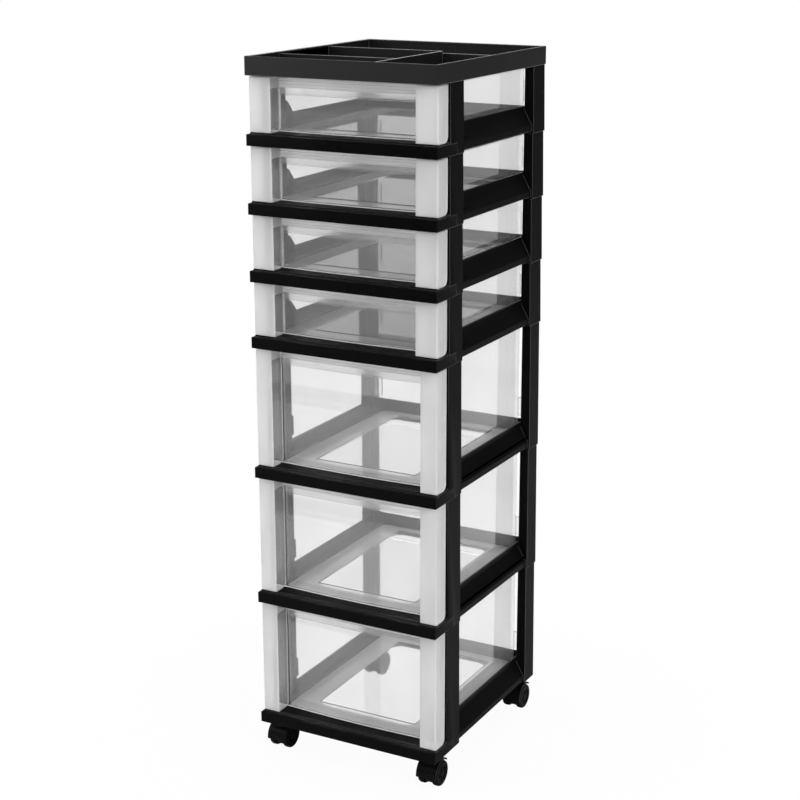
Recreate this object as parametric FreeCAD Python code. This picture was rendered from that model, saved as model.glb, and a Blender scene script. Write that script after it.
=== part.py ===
import FreeCAD, Part
import math
import os

# Plastic drawer tower on four twin-wheel casters.
# Stacked frame modules carry four shallow drawers over three deep ones, and an open tray closes the top.
# The origin is on the floor under the middle of the tower, +Z is up and the drawers open towards -Y.

# Overall sizes, in millimetres
tower_width = 306.0
tower_depth = 356.0
caster_height = 51.0
shallow_pitch = 99.0
deep_pitch = 201.0
shallow_count = 4
deep_count = 3
tray_height = 27.0

# Frame module: lip, deck, beams and posts
frame_wall = 2.5
lip_height = 16.5
lip_ledge = 8.0
lip_edge_round = 0.8
corner_round = 1.2
deck_rise = 2.2
deck_thickness = 2.2
deck_opening_side = 67.0
deck_opening_front = 61.0
deck_opening_rear = 37.0
deck_opening_round = 20.0
beam_recess = 3.0
beam_foot_step = 3.0
beam_skirt_top = 12.0
beam_slope_top = 36.0
beam_slope_run = 13.5
shallow_beam_crest = 40.0
deep_beam_crest = 43.0
rear_wall_recess = 1.5
rear_wall_drop = 4.0
post_reach = 16.0
post_lean = 1.4
post_rib = 2.0
post_setback = 41.0
front_post_width = 41.0
shallow_rear_post_width = 41.0
deep_rear_post_width = 34.0
spigot_height = 10.0
spigot_clearance = 0.3
spigot_taper = 1.5
under_rib_count = 5
under_rib_thickness = 1.6
under_rib_depth = 8.0

# Drawer stops on the front posts
stop_reach = 3.0
gusset_depth = 15.0
gusset_height = 20.0
stop_lug_height = 30.0
stop_lug_gap = 6.0

# Drawers
drawer_wall = 2.0
slide_clearance = 0.3
guide_clearance = 0.5
guide_thickness = 2.0
guide_height = 5.0
column_setback = 7.5
column_side_inset = 2.0
column_depth = 28.5
column_round = 3.0
column_foot_round = 9.0
shallow_column_width = 35.0
deep_column_width = 27.0
panel_recess = 26.0
panel_bow = 3.5
drawer_top_gap = 1.5
tub_side_inset = 28.5
tub_rear_gap = 5.0
tub_rim_drop = 3.0
tub_corner_round = 8.0
rim_width = 3.5
rim_thickness = 2.0
top_band_height = 15.5
top_band_proud = 1.2
floor_panel_inset = 4.0
floor_panel_height = 1.0
floor_panel_round = 14.0
ear_clearance = 1.5
ear_thickness = 3.0
ear_setback = 3.0
ear_gap = 4.0
ear_height = 30.0

# Tray on top of the stack
tray_wall = 2.5
tray_floor_height = 1.5
tray_floor_thickness = 2.0
tray_rim_width = 4.0
tray_rim_thickness = 2.0
divider_thickness = 2.0
divider_drop = 2.5
low_divider_drop = 5.5
cross_divider_back = 126.0
half_divider_front = 89.0
long_divider_side = 42.0
socket_roof = 2.0

# Casters
caster_side_inset = 21.0
caster_end_inset = 28.0
caster_trail = 7.0
wheel_radius = 20.0
wheel_width = 10.0
wheel_round = 3.0
wheel_dish_radius = 13.0
wheel_dish_depth = 1.5
wheel_cap = 3.0
axle_radius = 3.0
axle_clearance = 0.05
tight_fit = 0.02
hub_gap = 0.5
web_thickness = 12.0
web_radius = 17.0
fender_gap = 1.5
fender_thickness = 2.5
fender_front_angle = 185.0
fender_rear_angle = 50.0
swivel_boss_radius = 9.0
swivel_gap = 0.3
stem_radius = 4.0
stem_clearance = 0.05
stem_rise = 14.0
stem_sink = 9.0
stem_nose = 1.0
grip_ring_wall = 1.5
grip_ring_height = 10.0
grip_ring_slit = 1.2
socket_boss_wall = 3.5
socket_mouth = 1.0

half_width = tower_width / 2
half_depth = tower_depth / 2
front = -half_depth
rear = half_depth
deck_top = lip_height + deck_rise
post_inner = half_width - post_reach
post_front = front + post_setback
post_back = post_front + front_post_width
panel_front = front + column_setback + panel_recess
panel_back = panel_front + drawer_wall
tub_outer = half_width - tub_side_inset
bow_reach = tub_outer - tub_corner_round
rear_wall_outer = rear - rear_wall_recess
rear_wall_inner = rear_wall_outer - frame_wall
tub_rear = rear_wall_inner - tub_rear_gap
drawer_bottom = deck_top + slide_clearance
opening_side = half_width - deck_opening_side
opening_front = front + deck_opening_front
opening_rear = rear - deck_opening_rear
beam_outer = half_width - beam_recess
beam_top_outer = beam_outer - beam_slope_run
tray_base = caster_height + deep_count * deep_pitch + shallow_count * shallow_pitch
through = 1.0
same_place = 0.01


def block(x0, x1, y0, y1, z0, z1):
    """Box between two corners."""
    corner = FreeCAD.Vector(min(x0, x1), min(y0, y1), min(z0, z1))
    return Part.makeBox(abs(x1 - x0), abs(y1 - y0), abs(z1 - z0), corner)


def fuse(first, others):
    """One solid from touching or overlapping solids, without the seams between flat faces."""
    joined = first.fuse(others) if others else first
    return joined.removeSplitter()


def both_sides(shape):
    """A shape and its mirror image across the tower's middle plane."""
    return [shape, shape.mirror(FreeCAD.Vector(0, 0, 0), FreeCAD.Vector(1, 0, 0))]


def slab_along_y(points, y0, y1):
    """Solid with an outline given as (x, z) points, from y0 to y1."""
    corners = [FreeCAD.Vector(x, y0, z) for x, z in points]
    face = Part.Face(Part.makePolygon(corners + [corners[0]]))
    return face.extrude(FreeCAD.Vector(0, y1 - y0, 0))


def slab_along_x(points, x0, x1):
    """Solid with an outline given as (y, z) points, from x0 to x1."""
    corners = [FreeCAD.Vector(x0, y, z) for y, z in points]
    face = Part.Face(Part.makePolygon(corners + [corners[0]]))
    return face.extrude(FreeCAD.Vector(x1 - x0, 0, 0))


def leaning_block(low, high, z0, z1):
    """Solid between two level rectangles, each (x0, x1, y0, y1)."""
    rings = []
    for (x0, x1, y0, y1), z in ((low, z0), (high, z1)):
        corners = [(x0, y0), (x1, y0), (x1, y1), (x0, y1)]
        vectors = [FreeCAD.Vector(x, y, z) for x, y in corners]
        rings.append(Part.makePolygon(vectors + [vectors[0]]))
    return Part.makeLoft(rings, True, True)


def rounded_upright_box(x0, x1, y0, y1, z0, z1, radius):
    """Box whose four upright edges are rounded."""
    box = block(x0, x1, y0, y1, z0, z1)
    upright = [e for e in box.Edges if abs(e.Vertexes[0].Z - e.Vertexes[1].Z) > (z1 - z0) / 2]
    return box.makeFillet(radius, upright)


def bowed_slab(front_line, z0, z1):
    """Upright slab across the tower whose front bulges forward of a straight line by the panel's bow."""
    back_line = front_line + drawer_wall / 2
    ends = [FreeCAD.Vector(x, y, z0) for x, y in ((-bow_reach, front_line), (bow_reach, front_line),
                                                  (bow_reach, back_line), (-bow_reach, back_line))]
    arc = Part.Arc(ends[0], FreeCAD.Vector(0, front_line - panel_bow, z0), ends[1]).toShape()
    outline = Part.Wire([arc] + Part.makePolygon(ends[1:] + [ends[0]]).Edges)
    return Part.Face(outline).extrude(FreeCAD.Vector(0, 0, z1 - z0))


def edges_at(shape, test):
    """Edges whose middle point passes a test."""
    found = []
    for edge in shape.Edges:
        middle = edge.CenterOfMass
        if test(middle):
            found.append(edge)
    return found


def near(a, b):
    return abs(a - b) < same_place


def rear_joint():
    """Stretch of Y that the rear spigots and sockets share, whatever the width of the post."""
    return rear - min(shallow_rear_post_width, deep_rear_post_width), rear


def post_solid(y0, y1, joint, pitch, rear_face_leans):
    """Right-hand post: an upright channel, open to the inside, with a spigot on top."""
    lean_y = post_lean if rear_face_leans else 0.0
    low = (post_inner, half_width, y0, y1)
    high = (post_inner, half_width - post_lean, y0, y1 - lean_y)
    post = leaning_block(low, high, 0, pitch)

    channel_low = (post_inner - through, half_width - frame_wall, y0 + frame_wall, y1 - frame_wall)
    channel_high = (channel_low[0], channel_low[1] - post_lean, channel_low[2], channel_low[3] - lean_y)
    post = post.cut(leaning_block(channel_low, channel_high, deck_top, pitch - frame_wall))

    middle = (y0 + y1) / 2
    rib_outer = half_width - frame_wall / 2 - post_lean
    rib = block(post_inner + frame_wall / 2, rib_outer, middle - post_rib / 2, middle + post_rib / 2,
                lip_height, pitch - frame_wall / 2)

    spigot = post_spigot(joint[0], joint[1], spigot_clearance)
    spigot.translate(FreeCAD.Vector(0, 0, pitch))
    return fuse(post, [rib, spigot])


def post_spigot(y0, y1, clearance):
    """Tapered tongue that enters the socket of the module above, from z = 0 up."""
    low = (post_inner + frame_wall + clearance, half_width - frame_wall - clearance,
           y0 + frame_wall + clearance, y1 - frame_wall - clearance)
    high = (low[0] + spigot_taper, low[1] - spigot_taper, low[2] + spigot_taper, low[3] - spigot_taper)
    return leaning_block(low, high, 0, spigot_height)


def post_socket(y0, y1, roof):
    """Room inside a post's foot for the spigot of the module below."""
    return block(post_inner + frame_wall, half_width - frame_wall, y0 + frame_wall, y1 - frame_wall,
                 -through, roof)


def front_box():
    """Front of the ring, with the lip, hollow from below."""
    shell = block(-half_width, half_width, front, opening_front, 0, lip_height)
    uprights = edges_at(shell, lambda m: near(m.y, front) and near(abs(m.x), half_width))
    shell = shell.makeFillet(corner_round, uprights)
    top_front = edges_at(shell, lambda m: near(m.z, lip_height) and near(m.y, front))
    shell = shell.makeFillet(lip_edge_round, top_front)
    hollow = block(-half_width + frame_wall, half_width - frame_wall, front + frame_wall,
                   opening_front - frame_wall, -through, lip_height - deck_thickness)
    return shell.cut(hollow)


def deck(wall_inner_rear):
    """Raised deck that the drawer slides on, with its large rounded opening."""
    side = beam_outer - beam_slope_run * (deck_top - beam_skirt_top) / (beam_slope_top - beam_skirt_top)
    plate_low = deck_top - deck_thickness
    plate = block(-side + deck_rise / 2, side - deck_rise / 2, front + lip_ledge + deck_rise,
                  wall_inner_rear + frame_wall / 2, plate_low, deck_top)
    ramp = slab_along_x([(front + lip_ledge, lip_height - deck_rise / 2), (front + lip_ledge, lip_height),
                         (front + lip_ledge + deck_rise, deck_top), (post_front, deck_top),
                         (post_front, lip_height - deck_rise / 2)],
                        -half_width + corner_round, half_width - corner_round)
    opening = rounded_upright_box(-opening_side, opening_side, opening_front, opening_rear,
                                  -through, deck_top + through, deck_opening_round)
    return fuse(plate, [ramp]).cut(opening)


def side_beam(crest, y0, y1):
    """Right-hand beam: an upright skirt that leans in to a narrow crest."""
    slope = beam_slope_run / (beam_slope_top - beam_skirt_top)
    inner_bend = beam_skirt_top - frame_wall * slope / 2
    outline = [(beam_outer, beam_foot_step), (beam_outer, beam_skirt_top), (beam_top_outer, beam_slope_top),
               (beam_top_outer, crest), (beam_top_outer - frame_wall, crest),
               (beam_top_outer - frame_wall, beam_slope_top - frame_wall * slope / 2),
               (beam_outer - frame_wall, inner_bend), (beam_outer - frame_wall, beam_foot_step)]
    return slab_along_y(outline, y0, y1)


def guide_rib():
    """Right-hand rib that keeps the tub in its lane."""
    inner = tub_outer + guide_clearance
    return block(inner, inner + guide_thickness, front + column_setback + column_depth + through,
                 tub_rear, deck_top - deck_thickness / 2, deck_top + guide_height)


def drawer_gusset(crest):
    """Right-hand gusset behind the front post, where the ear of an open drawer stops."""
    start = post_back - frame_wall
    end = post_back + gusset_depth
    foot = beam_slope_top - beam_foot_step
    top = crest + gusset_height - stop_reach
    outline = [(start, foot), (end, foot), (end, crest), (post_back, top), (start, top)]
    return slab_along_x(outline, post_inner - stop_reach, post_inner - stop_reach + frame_wall)


def gusset_root(crest):
    """Web that joins the gusset to the post beside it."""
    return block(post_inner - stop_reach, post_inner + frame_wall, post_back - frame_wall, post_back,
                 beam_slope_top - beam_foot_step, crest + gusset_height - stop_reach)


def stop_lug(crest):
    """Right-hand lug on a tall post, where the ear of an open drawer stops."""
    low = crest + stop_lug_gap
    return block(post_inner - stop_reach, post_inner + frame_wall, post_back - frame_wall, post_back,
                 low, low + stop_lug_height)


def under_ribs():
    """Stiffening ribs below the front deck."""
    span = 2 * (post_inner - frame_wall)
    step = span / (under_rib_count + 1)
    ribs = []
    for index in range(under_rib_count):
        x = -span / 2 + (index + 1) * step
        ribs.append(block(x - under_rib_thickness / 2, x + under_rib_thickness / 2,
                          front + frame_wall / 2, opening_front - frame_wall,
                          lip_height - deck_thickness / 2 - under_rib_depth, lip_height))
    return ribs


def caster_places():
    """Swivel points of the casters, named as seen from the front."""
    x = half_width - caster_side_inset
    y = half_depth - caster_end_inset
    return [("front_left", -x, -y), ("front_right", x, -y), ("rear_left", -x, y), ("rear_right", x, y)]


def socket_radius():
    return stem_radius + stem_clearance + grip_ring_wall


def caster_bosses(ring):
    """Adds the four bosses that hold the casters' grip rings."""
    radius = socket_radius()
    bosses = []
    bores = []
    for _, x, y in caster_places():
        bosses.append(Part.makeCylinder(radius + socket_boss_wall, lip_height, FreeCAD.Vector(x, y, 0)))
        bores.append(Part.makeCylinder(radius, stem_rise + through, FreeCAD.Vector(x, y, 0)))
        mouth = Part.makeCone(radius + socket_mouth, radius, socket_mouth, FreeCAD.Vector(x, y, 0))
        bores.append(mouth)
    return fuse(ring, bosses).cut(bores)


def frame_module(pitch, crest, rear_width, lowest):
    """One module of the stack, from its own underside at z = 0."""
    rear_post_front = rear - rear_width
    wall_top = crest - rear_wall_drop
    pieces = [deck(rear_wall_inner)]
    pieces += both_sides(side_beam(crest, post_back - frame_wall / 2, rear_post_front + frame_wall / 2))
    pieces += both_sides(guide_rib())
    pieces += both_sides(post_solid(post_front, post_back, (post_front, post_back), pitch, False))
    pieces += both_sides(post_solid(rear_post_front, rear, rear_joint(), pitch, True))
    pieces.append(block(-post_inner - frame_wall, post_inner + frame_wall, rear_wall_inner, rear_wall_outer,
                        beam_foot_step, wall_top))
    pieces += under_ribs()
    if pitch == shallow_pitch:
        pieces += both_sides(drawer_gusset(crest))
        pieces += both_sides(gusset_root(crest))
    else:
        pieces += both_sides(stop_lug(crest))
    module = fuse(front_box(), pieces)
    roof = lip_height - deck_thickness
    sockets = both_sides(post_socket(post_front, post_back, roof))
    sockets += both_sides(post_socket(rear_joint()[0], rear, roof))
    module = module.cut(sockets)
    if lowest:
        module = caster_bosses(module)
    return module.removeSplitter()


def drawer_column(inner, top):
    """Right-hand handle column of a drawer front, open to the rear."""
    outer = half_width - column_side_inset
    y0 = front + column_setback
    y1 = y0 + column_depth
    body = block(inner, outer, y0, y1, drawer_bottom, top)
    front_upright = edges_at(body, lambda m: near(m.y, y0) and near(m.x, outer))
    body = body.makeFillet(column_round, front_upright)
    rear_foot = edges_at(body, lambda m: near(m.y, y1) and near(m.z, drawer_bottom))
    body = body.makeFillet(column_foot_round, rear_foot)
    hollow = block(inner + drawer_wall, outer - drawer_wall, y0 + drawer_wall, y1 + through,
                   drawer_bottom + drawer_wall, top - drawer_wall)
    hollow_upright = edges_at(hollow, lambda m: near(m.y, y0 + drawer_wall) and near(m.x, outer - drawer_wall))
    hollow = hollow.makeFillet(column_round - drawer_wall / 2, hollow_upright)
    return body.cut(hollow)


def tub_outside(rim_top):
    """Solid of the tub's outer shape, with its rim and its bowed front."""
    body = rounded_upright_box(-tub_outer, tub_outer, panel_front, tub_rear, drawer_bottom, rim_top,
                               tub_corner_round)
    rim = rounded_upright_box(-tub_outer - rim_width, tub_outer + rim_width, panel_front,
                              tub_rear + rim_width, rim_top - rim_thickness, rim_top,
                              tub_corner_round + rim_width)
    return fuse(body, [rim, bowed_slab(panel_front, drawer_bottom, rim_top)])


def tub_inside(top):
    """Room inside the tub, open at the top."""
    room = rounded_upright_box(-tub_outer + drawer_wall, tub_outer - drawer_wall, panel_back,
                               tub_rear - drawer_wall, drawer_bottom + drawer_wall, top + through,
                               tub_corner_round - drawer_wall)
    return fuse(room, [bowed_slab(panel_back, drawer_bottom + drawer_wall, top + through)])


def floor_panel():
    """Raised panel in the tub's floor, over the opening in the deck."""
    return rounded_upright_box(-opening_side + floor_panel_inset, opening_side - floor_panel_inset,
                               opening_front + floor_panel_inset, opening_rear - floor_panel_inset,
                               drawer_bottom + drawer_wall / 2,
                               drawer_bottom + drawer_wall + floor_panel_height, floor_panel_round)


def drawer_ear(crest):
    """Right-hand ear near the back of the tub, which meets the frame's stop when the drawer is pulled out."""
    reach = post_inner - ear_clearance
    y1 = tub_rear - ear_setback
    low = crest + ear_gap
    return block(tub_outer - drawer_wall / 2, reach, y1 - ear_thickness, y1, low, low + ear_height)


def drawer(pitch, crest, column_width):
    """One drawer, from the underside of its own module at z = 0."""
    top = pitch - drawer_top_gap
    inner = half_width - column_side_inset - column_width
    pieces = both_sides(drawer_column(inner, top))
    pieces += both_sides(drawer_ear(crest))
    seam = drawer_wall / 2
    pieces.append(block(-inner - seam, inner + seam, panel_front, panel_back, drawer_bottom, top))
    pieces.append(block(-inner - seam, inner + seam, panel_front - top_band_proud, panel_front + seam,
                        top - top_band_height, top))
    pieces.append(bowed_slab(panel_front, drawer_bottom, top))
    pieces.append(bowed_slab(panel_front - top_band_proud, top - top_band_height, top))
    shell = fuse(tub_outside(top - tub_rim_drop), pieces).cut(tub_inside(top))
    return fuse(shell, [floor_panel()])


def tray_divider(x0, x1, y0, y1, drop):
    floor_top = tray_floor_height + tray_floor_thickness
    return block(x0, x1, y0, y1, floor_top - tray_floor_thickness / 2, tray_height - drop)


def tray():
    """Open tray with dividers, which closes the stack and stands on the top module's spigots."""
    shell = block(-half_width, half_width, front, rear, 0, tray_height)
    uprights = edges_at(shell, lambda m: near(abs(m.x), half_width) and near(abs(m.y), half_depth))
    shell = shell.makeFillet(corner_round, uprights)
    brim = edges_at(shell, lambda m: near(m.z, tray_height))
    shell = shell.makeFillet(lip_edge_round, brim)
    floor_top = tray_floor_height + tray_floor_thickness
    wide_x = half_width - tray_wall
    wide_y = half_depth - tray_wall
    inside = block(-wide_x, wide_x, -wide_y, wide_y, floor_top, tray_height - tray_rim_thickness)
    mouth_x = half_width - tray_rim_width
    mouth_y = half_depth - tray_rim_width
    mouth = block(-mouth_x, mouth_x, -mouth_y, mouth_y, floor_top, tray_height + through)
    below = block(-wide_x, wide_x, -wide_y, wide_y, -through, tray_floor_height)
    body = shell.cut([inside, mouth, below])

    cross_y = half_depth - cross_divider_back
    half_y = front + half_divider_front
    wall = tray_wall / 2
    step = divider_thickness / 2
    fittings = [tray_divider(-wide_x - wall, long_divider_side, cross_y - step, cross_y + step, divider_drop),
                tray_divider(long_divider_side, wide_x + wall, cross_y - step, cross_y + step, low_divider_drop),
                tray_divider(-wide_x - wall, long_divider_side, half_y - step, half_y + step, divider_drop),
                tray_divider(long_divider_side - step, long_divider_side + step, -wide_y - wall,
                             cross_y + step, divider_drop)]
    sockets = []
    for y0, y1 in ((post_front, post_back), rear_joint()):
        roof = spigot_height + through
        fittings += both_sides(block(post_inner, wide_x + wall, y0, min(y1, wide_y + wall), 0,
                                     roof + socket_roof))
        sockets += both_sides(block(post_inner + frame_wall, wide_x, y0 + frame_wall,
                                    min(y1, rear) - frame_wall, -through, roof))
    return fuse(body, fittings).cut(sockets).removeSplitter()


def wheel(side):
    """One wheel about the X axis through the origin; side is +1 or -1, away from the hood."""
    start = web_thickness / 2 + hub_gap
    disc = Part.makeCylinder(wheel_radius, wheel_width, FreeCAD.Vector(start, 0, 0), FreeCAD.Vector(1, 0, 0))
    rims = [e for e in disc.Edges if len(e.Vertexes) == 1 and near(e.Length, 2 * math.pi * wheel_radius)]
    disc = disc.makeFillet(wheel_round, rims)
    dish = Part.makeCone(wheel_dish_radius - wheel_dish_depth, wheel_dish_radius, wheel_dish_depth,
                         FreeCAD.Vector(start + wheel_width - wheel_dish_depth, 0, 0), FreeCAD.Vector(1, 0, 0))
    bore = Part.makeCylinder(axle_radius + axle_clearance, wheel_width - wheel_cap + through,
                             FreeCAD.Vector(start - through, 0, 0), FreeCAD.Vector(1, 0, 0))
    shape = disc.cut([dish, bore])
    if side < 0:
        shape = shape.mirror(FreeCAD.Vector(0, 0, 0), FreeCAD.Vector(1, 0, 0))
    return shape


def axle():
    """Steel pin through the hood, about the X axis through the origin."""
    half = web_thickness / 2 + wheel_width - wheel_cap
    return Part.makeCylinder(axle_radius, 2 * half, FreeCAD.Vector(-half, 0, 0), FreeCAD.Vector(1, 0, 0))


def fender():
    """Arched guard over both wheels, about the X axis through the origin."""
    inner = wheel_radius + fender_gap
    outer = inner + fender_thickness
    half = web_thickness / 2 + hub_gap + wheel_width
    rings = Part.makeCylinder(outer, 2 * half, FreeCAD.Vector(-half, 0, 0), FreeCAD.Vector(1, 0, 0))
    rings = rings.cut(Part.makeCylinder(inner, 2 * half + 2 * through, FreeCAD.Vector(-half - through, 0, 0),
                                        FreeCAD.Vector(1, 0, 0)))
    web = Part.makeCylinder(inner + fender_thickness / 2, web_thickness,
                            FreeCAD.Vector(-web_thickness / 2, 0, 0), FreeCAD.Vector(1, 0, 0))
    reach = 2 * outer
    start = math.radians(fender_rear_angle)
    end = math.radians(fender_front_angle)
    middle = (start + end) / 2
    turns = [start, (start + middle) / 2, middle, (middle + end) / 2, end]
    outline = [(0.0, 0.0)] + [(reach * math.cos(a), reach * math.sin(a)) for a in turns]
    sector = slab_along_x(outline, -half, half)
    return rings.fuse(web).common(sector)


def hood():
    """Moulded body of a caster: web, fender and swivel boss; the swivel axis is at x = y = 0."""
    centre = FreeCAD.Vector(0, caster_trail, wheel_radius)
    web = Part.makeCylinder(web_radius, web_thickness, FreeCAD.Vector(-web_thickness / 2, 0, 0),
                            FreeCAD.Vector(1, 0, 0))
    pin_hole = Part.makeCylinder(axle_radius + tight_fit, web_thickness + 2 * through,
                                 FreeCAD.Vector(-web_thickness / 2 - through, 0, 0), FreeCAD.Vector(1, 0, 0))
    body = fuse(web, [fender()])
    body.translate(centre)
    pin_hole.translate(centre)
    boss_top = caster_height - swivel_gap
    boss_low = 2 * wheel_radius - fender_gap
    boss = Part.makeCylinder(swivel_boss_radius, boss_top - boss_low, FreeCAD.Vector(0, 0, boss_low))
    tyres = Part.makeCylinder(wheel_radius + fender_gap, 4 * wheel_width, FreeCAD.Vector(-2 * wheel_width, 0, 0),
                              FreeCAD.Vector(1, 0, 0))
    tyres.translate(centre)
    neck = block(-web_thickness / 2, web_thickness / 2, -swivel_boss_radius, swivel_boss_radius,
                 wheel_radius, boss_low + through)
    body = fuse(body, [boss.cut(tyres), neck])
    stem_hole = Part.makeCylinder(stem_radius + tight_fit, stem_sink + through,
                                  FreeCAD.Vector(0, 0, boss_top - stem_sink))
    return body.cut([pin_hole, stem_hole])


def stem():
    """Steel stem held in the hood; its rounded top turns inside the grip ring."""
    low = caster_height - swivel_gap - stem_sink
    pin = Part.makeCylinder(stem_radius, caster_height + stem_rise - low, FreeCAD.Vector(0, 0, low))
    top = [e for e in pin.Edges if len(e.Vertexes) == 1 and near(e.CenterOfMass.z, caster_height + stem_rise)]
    return pin.makeChamfer(stem_nose, top)


def grip_ring():
    """Split ring pressed into the frame's socket round the stem."""
    low = caster_height + stem_rise - grip_ring_height - 2 * stem_nose
    ring = Part.makeCylinder(socket_radius() - tight_fit, grip_ring_height, FreeCAD.Vector(0, 0, low))
    bore = Part.makeCylinder(stem_radius + stem_clearance, grip_ring_height + 2 * through,
                             FreeCAD.Vector(0, 0, low - through))
    slit = block(0, 2 * stem_radius, -grip_ring_slit / 2, grip_ring_slit / 2, low - through,
                 low + grip_ring_height + through)
    return ring.cut([bore, slit])


def save(shape, name):
    solids = shape.Solids
    if len(solids) != 1 or not shape.isValid():
        print("check", name, "solids", len(solids), "valid", shape.isValid())
    solids[0].exportStep("parts/" + name + ".step")
    box = shape.BoundBox
    print(name, "faces", len(shape.Faces), "volume cm3", round(shape.Volume / 1000, 1),
          "z", round(box.ZMin, 2), round(box.ZMax, 2))


def build_stack():
    """Frame modules and drawers, from the floor up."""
    base = caster_height
    deep_frame = frame_module(deep_pitch, deep_beam_crest, deep_rear_post_width, False)
    lowest_frame = frame_module(deep_pitch, deep_beam_crest, deep_rear_post_width, True)
    shallow_frame = frame_module(shallow_pitch, shallow_beam_crest, shallow_rear_post_width, False)
    deep_drawer = drawer(deep_pitch, deep_beam_crest, deep_column_width)
    shallow_drawer = drawer(shallow_pitch, shallow_beam_crest, shallow_column_width)
    for index in range(deep_count, 0, -1):
        lift = FreeCAD.Vector(0, 0, base)
        frame = lowest_frame if index == deep_count else deep_frame
        save(frame.translated(lift), "deep_frame_" + str(index))
        save(deep_drawer.translated(lift), "deep_drawer_" + str(index))
        base += deep_pitch
    for index in range(shallow_count, 0, -1):
        lift = FreeCAD.Vector(0, 0, base)
        save(shallow_frame.translated(lift), "shallow_frame_" + str(index))
        save(shallow_drawer.translated(lift), "shallow_drawer_" + str(index))
        base += shallow_pitch


def build_casters():
    for place, x, y in caster_places():
        pivot = FreeCAD.Vector(x, y, 0)
        hub = FreeCAD.Vector(x, y + caster_trail, wheel_radius)
        save(hood().translated(pivot), place + "_caster_hood")
        save(stem().translated(pivot), place + "_caster_stem")
        save(grip_ring().translated(pivot), place + "_grip_ring")
        save(axle().translated(hub), place + "_axle")
        save(wheel(-1).translated(hub), place + "_wheel_left")
        save(wheel(1).translated(hub), place + "_wheel_right")


os.makedirs("parts", exist_ok=True)
build_stack()
save(tray().translated(FreeCAD.Vector(0, 0, tray_base)), "organizer_tray")
build_casters()
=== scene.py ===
import math
import bmesh
import bpy
from mathutils import Matrix, Vector


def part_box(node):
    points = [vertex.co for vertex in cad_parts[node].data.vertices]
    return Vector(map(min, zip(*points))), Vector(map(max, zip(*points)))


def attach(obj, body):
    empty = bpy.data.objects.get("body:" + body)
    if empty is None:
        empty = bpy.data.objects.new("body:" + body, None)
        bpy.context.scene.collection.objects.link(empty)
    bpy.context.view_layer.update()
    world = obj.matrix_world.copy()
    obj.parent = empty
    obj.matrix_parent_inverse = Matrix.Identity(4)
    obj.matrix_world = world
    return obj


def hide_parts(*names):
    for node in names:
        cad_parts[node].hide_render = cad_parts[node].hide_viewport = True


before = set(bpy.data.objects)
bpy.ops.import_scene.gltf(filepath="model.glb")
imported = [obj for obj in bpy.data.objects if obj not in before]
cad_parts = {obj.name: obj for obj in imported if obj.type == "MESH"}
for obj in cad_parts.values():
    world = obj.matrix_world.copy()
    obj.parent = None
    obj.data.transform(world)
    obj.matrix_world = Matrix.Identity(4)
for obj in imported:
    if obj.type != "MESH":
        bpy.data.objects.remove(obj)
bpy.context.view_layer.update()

mm = 0.001  # sizes in the dictionaries below are millimetres

# Plastic drawer tower: four shallow drawers over three deep ones, a divided tray on top, four casters.
# The drawers open towards -Y, +X is to the right seen from the front, +Z is up.

shallowNames = ["shallow_frame_1", "shallow_frame_2", "shallow_frame_3", "shallow_frame_4"]
deepNames = ["deep_frame_1", "deep_frame_2", "deep_frame_3"]
casterPlaces = ["front_left", "front_right", "rear_left", "rear_right"]

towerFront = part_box("shallow_frame_1")[0][1]
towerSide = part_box("shallow_frame_1")[1][0]


def nodeBase(node):
    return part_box(node)[0][2]


# helpers for node trees
def addNode(tree, kind, **settings):
    node = tree.nodes.new(kind)
    for name, value in settings.items():
        setattr(node, name, value)
    return node


def wire(tree, source, target):
    tree.links.new(source, target)


def newGroup(name, inputs, outputs):
    # shader group with named sockets; inputs are (name, kind, value)
    tree = bpy.data.node_groups.new(name, "ShaderNodeTree")
    for label, kind, value in inputs:
        socket = tree.interface.new_socket(label, in_out="INPUT", socket_type="NodeSocket" + kind)
        socket.default_value = value
    for label, kind in outputs:
        tree.interface.new_socket(label, in_out="OUTPUT", socket_type="NodeSocket" + kind)
    return tree, addNode(tree, "NodeGroupInput").outputs, addNode(tree, "NodeGroupOutput").inputs


def mathNode(tree, operation, first, second=None, third=None, clamp=False):
    node = addNode(tree, "ShaderNodeMath", operation=operation, use_clamp=clamp)
    for index, value in enumerate((first, second, third)):
        if value is None:
            continue
        if isinstance(value, (int, float)):
            node.inputs[index].default_value = value
        else:
            wire(tree, value, node.inputs[index])
    return node.outputs[0]


def mixColour(tree, share, first, second):
    node = addNode(tree, "ShaderNodeMix", data_type="RGBA")
    for socket, value in ((node.inputs[0], share), (node.inputs[6], first), (node.inputs[7], second)):
        if isinstance(value, (int, float, tuple)):
            socket.default_value = value
        else:
            wire(tree, value, socket)
    return node.outputs[2]


def ranged(tree, value, fromLow, fromHigh, toLow=0.0, toHigh=1.0, kind="LINEAR"):
    # a value carried over from one range to another
    node = addNode(tree, "ShaderNodeMapRange", interpolation_type=kind)
    for name, limit in (("From Min", fromLow), ("From Max", fromHigh), ("To Min", toLow), ("To Max", toHigh)):
        node.inputs[name].default_value = limit
    wire(tree, value, node.inputs["Value"])
    return node.outputs[0]


def grey(value):
    return (value, value, value, 1.0)


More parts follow.
